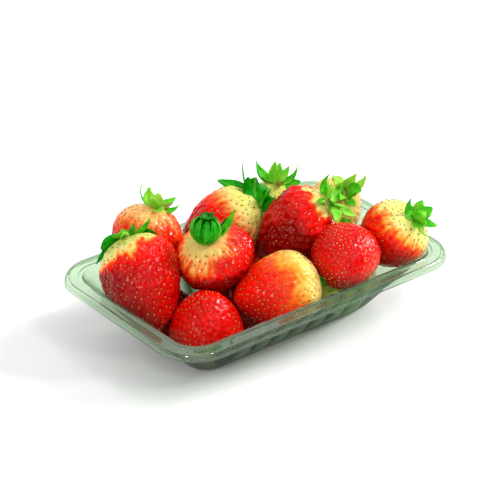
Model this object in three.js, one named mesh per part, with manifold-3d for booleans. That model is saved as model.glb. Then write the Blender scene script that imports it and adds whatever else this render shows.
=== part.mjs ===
// A shallow clear plastic punnet heaped with strawberries. Millimetres, +Z up.
//
// The origin is the middle of the tray's footprint, on the surface that the punnet stands on.
// +X runs along the tray and +Y across it. The tray is one thin thermoformed shell. The fruit is
// one heap: whole berries, each with its own place and lean, fused to each other and to a small core.

import * as THREE from 'three';
import Module from 'manifold-3d';

const wasm = await Module();
wasm.setup();

// ---- Driving dimensions: the tray ----
const RIM_LENGTH = 186;
const RIM_WIDTH = 122;
const RIM_CORNER = 23;
const RIM_HEIGHT = 36;
const FLANGE_WIDTH = 9.5;
const BASE_LENGTH = 115.5;
const BASE_WIDTH = 54;
const BASE_CORNER = 11;
const SHEET = 0.7; // thickness of the formed sheet
const WALL_INSET = 0.85; // the sheet's thickness measured level, across a wall that leans out
const FLUTE_PITCH = 12.5; // upright scallops along the middle of both long walls
const FLUTE_COUNT = 7;
const FLUTE_DEPTH = 1.8;
const CORNER_STEPS = 4; // edges round each corner of the tray

// ---- Driving dimensions: the fruit ----
const CLEARANCE = 0.4; // air between the heap and the tray
const OVERHANG = 40; // how far past the rim the space above it is kept for fruit
const SPACE_TOP = 130;
const SEPAL_THICKNESS = 1; // at the midrib, from which both faces thin to a sharp edge
const CALYX_RADIUS = 5;
const CALYX_HEIGHT = 2;
const CORE_CENTRE = [4, 1, 20];
const CORE_RADII = [54, 20, 15];

// Each berry: its middle, the compass heading and tilt of the line from its leaves to its tip,
// its length and greatest width, and how far down its length the shoulder is widest.
// sepals: how many, their length and width, and the angle at which they leave and end, measured
// up from the berry's shoulder (90 stands straight up off the berry).
const TOP_BERRIES = [
  { at: [-67, 11, 41], heading: -104, tilt: -50, length: 52, width: 40, shoulder: 0.32,
    sepals: { count: 8, length: 16, width: 8, leave: 0, end: 25, turn: 20 } },
  { at: [-44.5, 39, 48], heading: 176, tilt: -69, length: 37, width: 36, shoulder: 0.4,
    sepals: { count: 8, length: 14, width: 7, leave: 25, end: 85, turn: 0 } },
  { at: [-28, 0, 47], heading: -25, tilt: -78, length: 34, width: 40, shoulder: 0.4,
    sepals: { count: 8, length: 14, width: 8, leave: 15, end: 125, turn: 10 } },
  { at: [1, 31, 43.5], heading: 149, tilt: -25, length: 46, width: 37.5, shoulder: 0.33,
    sepals: { count: 8, length: 20, width: 9, leave: -5, end: -10, turn: 0 } },
  { at: [34, 31, 40], heading: -168, tilt: -76, length: 37, width: 31.5, shoulder: 0.35,
    sepals: { count: 7, length: 14, width: 7.5, leave: 10, end: 60, turn: 15 } },
  { at: [22.5, -1, 49.5], heading: 148, tilt: -33, length: 48.5, width: 40.5, shoulder: 0.35,
    sepals: { count: 8, length: 14, width: 8, leave: 0, end: 10, turn: 5 } },
  { at: [29, -37, 44], heading: -135, tilt: -9, length: 40.5, width: 35, shoulder: 0.42 },
  { at: [-9, -28, 34], heading: 159, tilt: -9, length: 46, width: 39, shoulder: 0.36,
    sepals: { count: 5, length: 11, width: 6, leave: 0, end: 30, turn: 20 } },
  { at: [56, 5.5, 46], heading: 92, tilt: -56, length: 36, width: 32, shoulder: 0.38,
    sepals: { count: 7, length: 12, width: 7.5, leave: 20, end: 60, turn: 0 } },
  { at: [66, -32, 43], heading: 147, tilt: -35, length: 39, width: 34.5, shoulder: 0.36,
    sepals: { count: 7, length: 11.5, width: 7.5, leave: 10, end: 75, turn: 25 } },
  { at: [-48, -18.5, 22], heading: -80, tilt: 79, length: 41, width: 39, shoulder: 0.4 },
];
const FLOOR_BERRIES = [
  { at: [-43, 16, 18.3], heading: -160, tilt: 5, length: 40, width: 36, shoulder: 0.38 },
  { at: [-14.5, -1.5, 17.5], heading: -110, tilt: -35, length: 38, width: 36, shoulder: 0.4 },
  { at: [16, 17.5, 18], heading: 80, tilt: 5, length: 40, width: 36, shoulder: 0.36 },
  { at: [45, -19, 19], heading: 30, tilt: 14, length: 44, width: 36, shoulder: 0.36,
    sepals: { count: 5, length: 9, width: 6, leave: -10, end: 15, turn: 0 } },
  { at: [48, 18, 17.7], heading: 100, tilt: 5, length: 42, width: 35, shoulder: 0.36 },
];
const TOP_DETAIL = { rings: 9, sides: 14 };
const FLOOR_DETAIL = { rings: 7, sides: 10 };
const TIP_ROUNDNESS = 1.8; // 2 would end the berry in a half ellipse
const TIP_FULLNESS = 1.65;
const OVALNESS = 0.03; // how far a berry's section departs from round, as a share of its radius
const LOBES = 0.02;

// ---- Shared geometry ----

const radians = THREE.MathUtils.degToRad;

/** A closed triangle mesh from a row of rings with equal counts. A ring of one point is a pole. */
function skin(rings) {
  const points = [];
  const starts = rings.map((ring) => points.push(...ring) - ring.length);
  const faces = [];
  for (let i = 0; i + 1 < rings.length; i += 1) {
    const [low, high] = [starts[i], starts[i + 1]];
    const count = Math.max(rings[i].length, rings[i + 1].length);
    for (let j = 0; j < count; j += 1) {
      const next = (j + 1) % count;
      if (rings[i].length === 1) {
        faces.push([low, high + j, high + next]);
      } else if (rings[i + 1].length === 1) {
        faces.push([low + j, high, low + next]);
      } else {
        faces.push([low + j, high + j, high + next], [low + j, high + next, low + next]);
      }
    }
  }
  return { points, faces };
}

/** Six times the signed volume, which is negative where the faces point inwards. */
function signedVolume({ points, faces }) {
  const across = new THREE.Vector3();
  let total = 0;
  for (const [a, b, c] of faces) {
    total += points[a].dot(across.crossVectors(points[b], points[c]));
  }
  return total;
}

/** A mesh as a solid that can be joined and cut, with its faces turned outwards. */
function solid(mesh) {
  const outward = signedVolume(mesh) > 0;
  const faces = outward ? mesh.faces : mesh.faces.map(([a, b, c]) => [a, c, b]);
  return new wasm.Manifold(new wasm.Mesh({
    numProp: 3,
    vertProperties: new Float32Array(mesh.points.flatMap((p) => [p.x, p.y, p.z])),
    triVerts: new Uint32Array(faces.flat()),
  }));
}

function named(name, shape, material) {
  const { vertProperties, triVerts } = shape.getMesh();
  const geometry = new THREE.BufferGeometry();
  geometry.setAttribute('position', new THREE.BufferAttribute(vertProperties, 3));
  geometry.setIndex(new THREE.BufferAttribute(triVerts, 1));
  geometry.computeVertexNormals();
  const mesh = new THREE.Mesh(geometry, new THREE.MeshStandardMaterial(material));
  mesh.name = name;
  return mesh;
}

// ---- The tray ----

/** How far the flutes push the wall out at x, from 0 to 1: arcs that meet in sharp ridges. */
function scallop(x) {
  const across = x / FLUTE_PITCH + FLUTE_COUNT / 2;
  if (across <= 0 || across >= FLUTE_COUNT) {
    return 0;
  }
  return Math.sin(Math.PI * (across % 1));
}

/** Half of the tray's level outline, for x from + to -: two corners and a long side with flutes. */
function halfOutline({ length, width, corner, z, flute = 0 }) {
  const points = [];
  const [cx, cy] = [length / 2 - corner, width / 2 - corner];
  const turn = (from, centreX) => {
    for (let i = 0; i <= CORNER_STEPS; i += 1) {
      const angle = from + (Math.PI / 2) * (i / CORNER_STEPS);
      points.push([centreX + corner * Math.cos(angle), cy + corner * Math.sin(angle)]);
    }
  };
  turn(0, cx);
  const stepsPerFlute = 3;
  for (let i = FLUTE_COUNT * stepsPerFlute; i >= 0; i -= 1) {
    const x = (i / stepsPerFlute - FLUTE_COUNT / 2) * FLUTE_PITCH;
    // The base is shorter than the run of flutes, so there they close up to fit its straight side.
    const fitted = x * Math.min(1, (cx - 1) / ((FLUTE_COUNT * FLUTE_PITCH) / 2));
    points.push([fitted, width / 2 + flute * FLUTE_DEPTH * scallop(x)]);
  }
  turn(Math.PI / 2, -cx);
  return points.map(([x, y]) => new THREE.Vector3(x, y, z));
}

function outline(level) {
  const half = halfOutline(level);
  return [...half, ...half.map((p) => new THREE.Vector3(-p.x, -p.y, p.z))];
}

/** A level of the wall, from 0 where it leaves the base to 1 where it meets the rim. */
function wallLevel(share, flute = 0) {
  const mouth = { length: RIM_LENGTH - 2 * FLANGE_WIDTH - 3, width: RIM_WIDTH - 2 * FLANGE_WIDTH - 3 };
  return {
    length: THREE.MathUtils.lerp(BASE_LENGTH, mouth.length, share),
    width: THREE.MathUtils.lerp(BASE_WIDTH, mouth.width, share),
    corner: THREE.MathUtils.lerp(BASE_CORNER, RIM_CORNER - FLANGE_WIDTH, share),
    z: (RIM_HEIGHT - 3) * share,
    flute,
  };
}

/** A level of the rim, at a distance out from the mouth's edge and down from the rim's top. */
function rimLevel(out, down) {
  const inward = FLANGE_WIDTH - out;
  return {
    length: RIM_LENGTH - 2 * inward,
    width: RIM_WIDTH - 2 * inward,
    corner: RIM_CORNER - inward,
    z: RIM_HEIGHT - SHEET - down,
  };
}

/** The same level on the sheet's other face: pulled in, and lifted. */
function otherFace(level, inset, lift) {
  return {
    ...level,
    length: level.length - 2 * inset,
    width: level.width - 2 * inset,
    corner: level.corner - inset,
    z: level.z + lift,
  };
}

// The sheet's lower and outer face, from the middle of the base out to the lip. Each level is
// followed by how far in and how far up its partner lies on the upper, inner face.
const SHEET_LEVELS = [
  [{ ...wallLevel(0), length: BASE_LENGTH - 5, width: BASE_WIDTH - 5, corner: BASE_CORNER - 2.5 }, 0.1, SHEET],
  [{ ...wallLevel(0.04), length: BASE_LENGTH + 0.6, width: BASE_WIDTH + 0.6 }, 0.7, 0.4],
  [wallLevel(0.14), WALL_INSET, 0],
  [wallLevel(0.32, 1), WALL_INSET, 0],
  [wallLevel(0.72, 1), WALL_INSET, 0],
  [wallLevel(0.97), WALL_INSET, 0],
  [rimLevel(-0.2, 1.9), 0.5, SHEET],
  [rimLevel(0.9, 0), 0.4, SHEET],
  [rimLevel(2.3, 0.5), 0, SHEET],
  [rimLevel(7.3, 0.5), 0, SHEET],
  [rimLevel(8.2, 1.2), -0.3, SHEET],
  [rimLevel(FLANGE_WIDTH - SHEET, 3.2), -SHEET, 0],
];

function traySolid() {
  const lower = SHEET_LEVELS.map(([level]) => outline(level));
  const upper = SHEET_LEVELS.map(([level, inset, lift]) => outline(otherFace(level, inset, lift)));
  const underside = [new THREE.Vector3(0, 0, 0)];
  const floor = [new THREE.Vector3(0, 0, SHEET)];
  return solid(skin([underside, ...lower, ...upper.reverse(), floor]));
}

/** The space that the fruit may take: the tray's inside, and all that is above the rim. */
function fruitSpace() {
  const inside = SHEET_LEVELS.slice(0, 8).map(([level, inset, lift]) => (
    otherFace({ ...level, flute: 0 }, inset + CLEARANCE * 1.2, lift + CLEARANCE)
  ));
  inside[0].z = SHEET + CLEARANCE;
  const above = {
    length: RIM_LENGTH + 2 * OVERHANG,
    width: RIM_WIDTH + 2 * OVERHANG,
    corner: RIM_CORNER + OVERHANG,
    z: RIM_HEIGHT + CLEARANCE,
  };
  const rings = [...inside, above, { ...above, z: SPACE_TOP }].map(outline);
  const bottom = [new THREE.Vector3(0, 0, SHEET + CLEARANCE)];
  const top = [new THREE.Vector3(0, 0, SPACE_TOP)];
  return solid(skin([bottom, ...rings, top]));
}

// ---- The strawberries ----

/** The berry's own directions: along it to the tip, level to its side, and square to both. */
function directions({ heading, tilt }) {
  const [h, t] = [radians(heading), radians(tilt)];
  const along = new THREE.Vector3(Math.cos(h) * Math.cos(t), Math.sin(h) * Math.cos(t), Math.sin(t));
  const side = new THREE.Vector3(-Math.sin(h), Math.cos(h), 0);
  return { along, side, up: new THREE.Vector3().crossVectors(along, side) };
}

/** The berry's radius as a share of its greatest, t of the way from its leaves to its tip. */
function berryRadius(t, shoulder) {
  if (t < shoulder) {
    return Math.sqrt(1 - ((shoulder - t) / shoulder) ** 2);
  }
  return (1 - ((t - shoulder) / (1 - shoulder)) ** TIP_ROUNDNESS) ** (1 / TIP_FULLNESS);
}

function berrySolid(berry, { rings, sides }, order) {
  const { along, side, up } = directions(berry);
  const middle = new THREE.Vector3(...berry.at);
  const place = (t, angle, radius) => middle.clone()
    .addScaledVector(along, (t - 0.5) * berry.length)
    .addScaledVector(side, radius * Math.cos(angle))
    .addScaledVector(up, radius * Math.sin(angle));
  const levels = [[place(0, 0, 0)]];
  for (let i = 1; i < rings; i += 1) {
    const t = (1 - Math.cos((Math.PI * i) / rings)) / 2;
    const ring = [];
    for (let j = 0; j < sides; j += 1) {
      const angle = (2 * Math.PI * j) / sides;
      const uneven = 1 + OVALNESS * Math.cos(2 * angle + order) + LOBES * Math.cos(3 * angle + 2 * order + 2 * t);
      ring.push(place(t, angle, (berry.width / 2) * berryRadius(t, berry.shoulder) * uneven));
    }
    levels.push(ring);
  }
  levels.push([place(1, 0, 0)]);
  return solid(skin(levels));
}

/** The low green disc that the sepals grow from. */
function calyxDisc(berry) {
  const { along, side, up } = directions(berry);
  const middle = new THREE.Vector3(...berry.at).addScaledVector(along, -berry.length / 2);
  const ring = Array.from({ length: 8 }, (_, i) => middle.clone()
    .addScaledVector(along, 0.4)
    .addScaledVector(side, CALYX_RADIUS * Math.cos((Math.PI * i) / 4))
    .addScaledVector(up, CALYX_RADIUS * Math.sin((Math.PI * i) / 4)));
  const top = [middle.clone().addScaledVector(along, -CALYX_HEIGHT)];
  const root = [middle.clone().addScaledVector(along, 4)];
  return solid(skin([top, ring, root]));
}

/** One sepal: a thin curved leaf with a folded midrib and wavy edges, closed all round. */
function sepalSolid(berry, index) {
  const { along, side, up } = directions(berry);
  const { count, length, width, leave, end, turn } = berry.sepals;
  const around = radians(turn) + (2 * Math.PI * index) / count + 0.18 * Math.sin(5 * index);
  const outward = side.clone().multiplyScalar(Math.cos(around)).addScaledVector(up, Math.sin(around));
  const across = new THREE.Vector3().crossVectors(along, outward);
  const reach = length * (1 + 0.15 * Math.sin(3 * index + 1));
  const shares = [0, 0.36, 0.72, 1];
  const widths = [0.45, 1, 0.8, 0.12];
  const spine = new THREE.Vector3(...berry.at)
    .addScaledVector(along, -berry.length / 2 + 0.4)
    .addScaledVector(outward, CALYX_RADIUS * 0.6);
  const rings = shares.map((share, i) => {
    const angle = radians(THREE.MathUtils.lerp(leave, end, share) + 12 * Math.sin(7 * index));
    const forward = outward.clone().multiplyScalar(Math.cos(angle)).addScaledVector(along, -Math.sin(angle));
    const face = new THREE.Vector3().crossVectors(forward, across).multiplyScalar(-1);
    if (i > 0) {
      spine.addScaledVector(forward, reach * (share - shares[i - 1]));
    }
    const half = (width / 2) * widths[i];
    const wave = 0.6 * Math.sin(2 * Math.PI * share + index);
    const point = (sideways, rise) => spine.clone()
      .addScaledVector(across, sideways)
      .addScaledVector(face, rise);
    return [
      point(-half, 0.3 * half + wave),
      point(0, SEPAL_THICKNESS / 2),
      point(half, 0.3 * half - wave),
      point(0, -SEPAL_THICKNESS / 2),
    ];
  });
  return solid(sepalMesh(rings));
}

/** Closes a sepal's rings of edge, midrib, edge and keel, splitting its two faces in the same way. */
function sepalMesh(rings) {
  const points = rings.flat();
  const faces = [];
  for (let i = 0; i + 1 < rings.length; i += 1) {
    const [near, far] = [4 * i, 4 * (i + 1)];
    for (const [edge, middle, turn] of [[0, 1, 1], [2, 1, -1], [0, 3, -1], [2, 3, 1]]) {
      const halves = [
        [near + edge, far + edge, far + middle],
        [near + edge, far + middle, near + middle],
      ];
      faces.push(...halves.map(([a, b, c]) => (turn > 0 ? [a, b, c] : [a, c, b])));
    }
  }
  const last = points.length - 4;
  faces.push([0, 1, 3], [1, 2, 3], [last, last + 3, last + 1], [last + 1, last + 3, last + 2]);
  return { points, faces };
}

/** The lump inside the heap that every berry is fused to, so that no pocket is sealed in. */
function coreSolid() {
  const ball = new THREE.SphereGeometry(1, 14, 8);
  const position = ball.getAttribute('position');
  const [rings, sides] = [8, 14];
  const levels = [];
  for (let i = 0; i <= rings; i += 1) {
    const ring = [];
    for (let j = 0; j < (i % rings ? sides : 1); j += 1) {
      const point = new THREE.Vector3().fromBufferAttribute(position, i * (sides + 1) + j);
      ring.push(point.multiply(new THREE.Vector3(...CORE_RADII)).add(new THREE.Vector3(...CORE_CENTRE)));
    }
    levels.push(ring);
  }
  return solid(skin(levels));
}

function heapSolid() {
  let heap = coreSolid();
  const pile = (berries, detail, offset) => berries.forEach((berry, i) => {
    heap = heap.add(berrySolid(berry, detail, i + offset));
    if (berry.sepals) {
      heap = heap.add(calyxDisc(berry));
      for (let k = 0; k < berry.sepals.count; k += 1) {
        heap = heap.add(sepalSolid(berry, k));
      }
    }
  });
  pile(FLOOR_BERRIES, FLOOR_DETAIL, TOP_BERRIES.length);
  pile(TOP_BERRIES, TOP_DETAIL, 0);
  return heap.intersect(fruitSpace());
}

// ---- The part ----

const punnet = new THREE.Group();
punnet.add(
  named('tray', traySolid(), { color: 0xc4e2d0, roughness: 0.12, metalness: 0 }),
  named('strawberries', heapSolid(), { color: 0xc8211a, roughness: 0.3, metalness: 0 }),
);

export default punnet;
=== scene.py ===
# %% [markdown]
# # A punnet of strawberries
# Sixteen strawberries lie heaped in a clear green tray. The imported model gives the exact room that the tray
# and the heap take up, so it is loaded first, as a fixed frame. Everything after it is built in the same
# frame, in metres, and takes the place of one of the frame's two plain solids.

# %% Load the frame
import bmesh
import bpy
import numpy as np
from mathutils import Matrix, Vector


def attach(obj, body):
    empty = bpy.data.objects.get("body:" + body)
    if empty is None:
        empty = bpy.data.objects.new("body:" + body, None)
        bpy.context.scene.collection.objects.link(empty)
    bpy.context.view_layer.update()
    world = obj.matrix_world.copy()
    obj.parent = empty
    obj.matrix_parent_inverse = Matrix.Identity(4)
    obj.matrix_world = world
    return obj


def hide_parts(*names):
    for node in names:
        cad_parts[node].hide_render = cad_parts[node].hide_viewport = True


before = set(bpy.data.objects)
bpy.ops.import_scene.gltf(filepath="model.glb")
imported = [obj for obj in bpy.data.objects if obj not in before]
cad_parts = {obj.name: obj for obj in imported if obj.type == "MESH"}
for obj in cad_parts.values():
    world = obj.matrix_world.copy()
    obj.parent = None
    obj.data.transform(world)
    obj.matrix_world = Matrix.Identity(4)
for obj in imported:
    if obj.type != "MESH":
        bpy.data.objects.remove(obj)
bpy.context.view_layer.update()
print("The frame's nodes:", sorted(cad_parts))

# %% [markdown]
# ## A few small helpers
# Shapes are easiest to think of in millimetres, colours in the hex values of a paint chart, and materials as
# nodes with their settings. Each of these gets one function, as do new materials and objects, so the cells
# below can stay short. A Mix node's sockets share names, so numbers tell them apart: 6 and 7 take its two
# colours and output 2 gives the mix, while 2 and 3 take its two plain numbers.

# %% Helpers
MM = 0.001


def linear(hex_colour):
    """An sRGB hex colour as the linear colour that Blender's sockets take."""
    channels = [int(hex_colour[i:i + 2], 16) / 255 for i in (1, 3, 5)]
    return (*[c / 12.92 if c <= 0.04045 else ((c + 0.055) / 1.055) ** 2.4 for c in channels], 1.0)


def node(tree, kind, sockets=None, stops=None, **settings):
    """Adds one shader node. A socket is given a value, another node's output, or a node for its first."""
    new = tree.nodes.new("ShaderNode" + kind)
    for name, value in settings.items():
        setattr(new, name, value)
    for name, value in (sockets or {}).items():
        if isinstance(value, bpy.types.Node):
            value = value.outputs[0]
        if isinstance(value, bpy.types.NodeSocket):
            tree.links.new(value, new.inputs[name])
        else:
            new.inputs[name].default_value = value
    for place, (share, colour) in enumerate(stops or []):
        # a new ramp has a first and a last stop already, so those two head each list
        elements = new.color_ramp.elements
        stop = elements[place] if place < 2 else elements.new(share)
        stop.position = share
        stop.color = linear(colour)
    return new


def blank_material(name):
    """A new material with no nodes, and its node tree."""
    material = bpy.data.materials.new(name)
    material.use_nodes = True
    material.node_tree.nodes.clear()
    return material, material.node_tree


def new_object(name, data):
    """An object in the scene, from a mesh, a light or a camera."""
    added = bpy.data.objects.new(name, data)
    bpy.context.scene.collection.objects.link(added)
    return added


def mesh_piece(name, points, faces, materials, finish=None, **values):
    """A smooth mesh from points in millimetres. values are named numbers, one for each point."""
    mesh = bpy.data.meshes.new(name)
    mesh.from_pydata((np.asarray(points) * MM).tolist(), [], faces)
    for material in materials:
        mesh.materials.append(material)
    if finish is not None:
        mesh.polygons.foreach_set("material_index", finish)
    mesh.polygons.foreach_set("use_smooth", [True] * len(mesh.polygons))
    for label, numbers in values.items():
        mesh.attributes.new(label, "FLOAT", "POINT").data.foreach_set("value", np.asarray(numbers, float))
    return new_object(name, mesh)


print("A mid green in linear light:", [round(c, 3) for c in linear("#4FA03C")])

# %% [markdown]
# ## The camera and the light
# A long lens from some way off looks down on the punnet at about 29 degrees, across its near corner. The
# light is that of a pale room. Two windows on the right, made as wide suns, give each berry a lit and a
# shaded side, and two small lamps give glints. Five soft boxes hang round them, wide and weak, so that
# nothing goes black and wet skin gets no hard white patches. They are painted on the world, by direction,
# as real ones that near would light the floor unevenly.

# %% Camera
AIM = Vector((-4.642, 0.0, 44.473)) * MM
CAMERA_AROUND = np.radians(-38.567)
CAMERA_UP = np.radians(28.69)
CAMERA_AWAY = 1238.3 * MM
LENS = 168.9

toward_camera = Vector((
    np.sin(CAMERA_AROUND) * np.cos(CAMERA_UP),
    -np.cos(CAMERA_AROUND) * np.cos(CAMERA_UP),
    np.sin(CAMERA_UP),
))
scene = bpy.context.scene
camera = new_object("camera", bpy.data.cameras.new("camera"))
camera.data.lens = LENS
camera.location = AIM + toward_camera * CAMERA_AWAY
camera.rotation_euler = toward_camera.to_track_quat("Z", "Y").to_euler()
scene.camera = camera
print("The camera stands at", [round(c, 3) for c in camera.location])

# %% Light
LAMPS = {
    # name: where it shines from, its strength, how wide it looks in degrees
    "window_low": ((0.886, -0.221, 0.407), 2.4, 12),
    "window_high": ((0.689, -0.336, 0.643), 1.45, 12),
    "lamp_right": ((0.166, -0.597, 0.785), 0.60, 9),
    "lamp_left": ((-0.72, -0.38, 0.58), 0.75, 9),
}
ROOM_LIGHT = 0.10
SOFT_BOXES = {
    # name: where it hangs, how bright it is, and the angles from its middle where it starts and ends fading
    "behind": ((0.23, 0.71, 0.67), 1.1, 25, 60),
    "overhead": ((-0.21, -0.37, 0.91), 0.6, 25, 55),
    "front": ((-0.50, -0.76, 0.42), 0.65, 15, 45),
    "fill": ((-0.85, -0.35, 0.40), 0.3, 10, 35),
    "far_fill": ((-0.60, 0.65, 0.45), 0.4, 10, 35),
}

for name, (place, strength, width) in LAMPS.items():
    lamp = new_object(name, bpy.data.lights.new(name, "SUN"))
    lamp.data.energy = strength
    lamp.data.angle = np.radians(width)
    lamp.rotation_euler = Vector(place).to_track_quat("Z", "Y").to_euler()

world = bpy.data.worlds.new("studio")
world.use_nodes = True
t = world.node_tree
t.nodes.clear()
way = node(t, "TexCoord")
glow = ROOM_LIGHT
for place, strength, inner, outer in SOFT_BOXES.values():
    facing = node(t, "VectorMath",
                  {0: way.outputs["Generated"], 1: Vector(place).normalized()}, operation="DOT_PRODUCT")
    box = node(t, "MapRange",
               {"Value": facing.outputs["Value"], "From Min": np.cos(np.radians(outer)),
                "From Max": np.cos(np.radians(inner)), "To Max": strength}, interpolation_type="SMOOTHSTEP")
    glow = node(t, "Math", {0: box, 1: glow})
surround = node(t, "Background", {"Color": linear("#FFFFFF"), "Strength": glow})
node(t, "OutputWorld", {"Surface": surround})
scene.world = world
scene.view_settings.view_transform = "Standard"
print("Lamps:", len(LAMPS), "soft boxes:", len(SOFT_BOXES))

# %% [markdown]
# ## The tray's shape
# The tray is a sheet of clear plastic, heated and sucked into a mould. Such a tray is one skin of even
# thickness: a flat base, walls that lean out and are fluted to stiffen them, and a flat rim with a bead
# along its inner and outer edge. It could be a box with modifiers, but a stack of rounded outlines, joined
# from one to the next, follows the mould's own section, so each bead and bend is an entry in a list.

# %% The tray's outlines
# all in millimetres; BEND is how far the curve from wall to rim reaches, in and down
RIM_LENGTH, RIM_WIDTH, RIM_CORNER, RIM_HEIGHT = 186, 122, 23, 36
FLANGE_WIDTH = 9.5
BASE_LENGTH, BASE_WIDTH, BASE_CORNER = 115.5, 54, 11
BEND = 3
MOUTH_LENGTH = RIM_LENGTH - 2 * FLANGE_WIDTH - BEND
MOUTH_WIDTH = RIM_WIDTH - 2 * FLANGE_WIDTH - BEND
MOUTH_CORNER = RIM_CORNER - FLANGE_WIDTH
WALL_HEIGHT = RIM_HEIGHT - BEND
SHEET = 0.7
WALL_INSET = 0.85


def wall_level(share, fluted=0):
    """The wall's outline at a share of its height: length, width, corner, height, flutes."""
    low = np.array([BASE_LENGTH, BASE_WIDTH, BASE_CORNER])
    high = np.array([MOUTH_LENGTH, MOUTH_WIDTH, MOUTH_CORNER])
    return [*(low + (high - low) * share), WALL_HEIGHT * share, fluted]


def rim_level(out, down):
    """An outline on the rim, so far out from the mouth and so far below the rim's top."""
    inward = FLANGE_WIDTH - out
    return [RIM_LENGTH - 2 * inward, RIM_WIDTH - 2 * inward, RIM_CORNER - inward,
            RIM_HEIGHT - SHEET - down, 0]


SECTION = [
    # the sheet's outer face, then how far in and up its inner face is
    ([BASE_LENGTH - 5, BASE_WIDTH - 5, BASE_CORNER - 2.5, 0, 0], 0.1, SHEET),
    ([BASE_LENGTH - 1.6, BASE_WIDTH - 1.6, BASE_CORNER - 0.8, 0.25, 0], 0.3, 0.6),
    ([BASE_LENGTH + 0.6, BASE_WIDTH + 0.6, BASE_CORNER, 1.3, 0], 0.7, 0.4),
    (wall_level(0.08), 0.85, 0.1),
    *((wall_level(share, fluted), WALL_INSET, 0) for share, fluted in (
        (0.14, 0.25), (0.20, 0.75), (0.28, 1), (0.40, 1), (0.52, 1), (0.62, 1), (0.70, 1), (0.76, 1),
        (0.82, 1), (0.88, 0.6), (0.94, 0), (0.985, 0))),
    (rim_level(-0.5, 1.3), 0.5, 0.6),
    (rim_level(0.1, 0.3), 0.4, 0.7),
    (rim_level(0.9, 0), 0.1, SHEET),
    *((rim_level(out, down), 0, SHEET) for out, down in (
        (1.7, 0.3), (2.3, 0.75), (3.1, 0.8), (5.9, 0.8), (6.5, 0.75), (6.9, 0.3), (7.4, 0.15))),
    (rim_level(8.0, 0.35), -0.15, SHEET),
    (rim_level(8.5, 1.1), -0.45, 0.55),
    (rim_level(8.8, 2.0), -0.65, 0.2),
    (rim_level(8.85, 3.2), -0.65, 0),
]
print("Outlines in the tray's section:", len(SECTION))

# %% [markdown]
# The flutes are seven scallops in each long wall, 12.5 mm apart. Each starts under an arch near the mouth
# and runs out at the foot. They meet in sharp valleys, which stiffen the wall. The outline has more points
# along them than elsewhere, so that a valley always falls on a point. Warm sheet touches the mould first in
# the valleys and stretches least there, so each point also keeps how thick the sheet is left.

# %% The tray's outline with flutes
FLUTE_PITCH, FLUTE_COUNT, FLUTE_DEPTH = 12.5, 7, 2.4
FLUTE_STEPS = 10
FLUTE_HALF = FLUTE_PITCH * FLUTE_COUNT / 2
FLUTE_ROUNDNESS, VALLEY_SHARPNESS = 0.6, 1.5
CORNER_STEPS, SHORT_STEPS, END_STEPS = 14, 12, 3
# every outline keeps at least this round a corner and this long a plain end of its side
LEAST_TURN, LEAST_END = 0.5, 0.3


def outline(length, width, corner, height, fluted, inset=0.0, lift=0.0):
    """One closed outline of the sheet, anticlockwise from the near long side's left end.

    Each point has x, y, z and how thick the sheet is left there, from 0 to 1.
    """
    long, wide = length / 2 - inset, width / 2 - inset
    turn = max(corner - inset, LEAST_TURN)
    straight, end = long - turn, wide - turn
    flutes = np.linspace(-FLUTE_HALF, FLUTE_HALF, FLUTE_COUNT * FLUTE_STEPS + 1)
    flutes = np.clip(flutes, -straight + LEAST_END, straight - LEAST_END)
    left = np.linspace(-straight, flutes[0], END_STEPS, endpoint=False)
    side = np.concatenate([left, flutes, -left[::-1]])
    along_flute = (side + FLUTE_HALF) / FLUTE_PITCH
    scallop = np.sin(np.pi * (along_flute % 1)) * (np.abs(side) < FLUTE_HALF)
    bulge = FLUTE_DEPTH * fluted * scallop ** FLUTE_ROUNDNESS
    bend = np.linspace(0, np.pi / 2, CORNER_STEPS + 1)[1:-1]
    across = np.linspace(-end, end, SHORT_STEPS + 1)
    points = []
    for sign in (1, -1):
        points += [(sign * x, -sign * (wide + b)) for x, b in zip(side, bulge)]
        points += [(sign * (straight + turn * np.sin(a)), -sign * (end + turn * np.cos(a))) for a in bend]
        points += [(sign * long, sign * y) for y in across]
        points += [(sign * (straight + turn * np.cos(a)), sign * (end + turn * np.sin(a))) for a in bend]
    valley = fluted * (1 - scallop) ** VALLEY_SHARPNESS
    thick = np.concatenate([valley, np.zeros(len(points) // 2 - len(side))] * 2)
    return np.array([(x, y, height + lift, extra) for (x, y), extra in zip(points, thick)])


print("Points in one outline:", len(outline(*SECTION[0][0])))

# %% [markdown]
# Between the listed outlines the section is drawn as a smooth curve, since warm sheet never takes a sharp
# fold. The outer face and the inner face are joined at the lip and each closed by the base, which makes
# one watertight skin: clear materials need that to bend light properly.

# %% Build the tray's mesh
SMOOTH_STEPS = 3


def smooth_rows(rows, steps):
    """A Catmull-Rom curve through rows of numbers."""
    rows = np.asarray(rows, float)
    padded = np.vstack([rows[0], rows, rows[-1]])
    drawn = []
    for p0, p1, p2, p3 in zip(padded, padded[1:], padded[2:], padded[3:]):
        for s in np.arange(steps) / steps:
            drawn.append(0.5 * (2 * p1 + (p2 - p0) * s + (2 * p0 - 5 * p1 + 4 * p2 - p3) * s ** 2
                                + (3 * p1 - p0 - 3 * p2 + p3) * s ** 3))
    drawn.append(rows[-1])
    return np.array(drawn)


def tray_mesh():
    """The points and faces of the whole tray."""
    rows = smooth_rows([[*outer, inset, lift] for outer, inset, lift in SECTION], SMOOTH_STEPS)
    rows[:, 3] = np.maximum(rows[:, 3], 0)
    outer = [outline(*row[:5]) for row in rows]
    inner = [outline(*row[:5], inset=row[5], lift=row[6]) for row in rows]
    rings = outer + inner[::-1]
    count = len(rings[0])
    faces = []
    for ring in range(len(rings) - 1):
        for k in range(count):
            a, b = ring * count + k, ring * count + (k + 1) % count
            faces.append((a, b, b + count, a + count))
    faces.append(tuple(range(count))[::-1])
    faces.append(tuple(range(len(rings) * count - count, len(rings) * count)))
    return np.vstack(rings), faces


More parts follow.
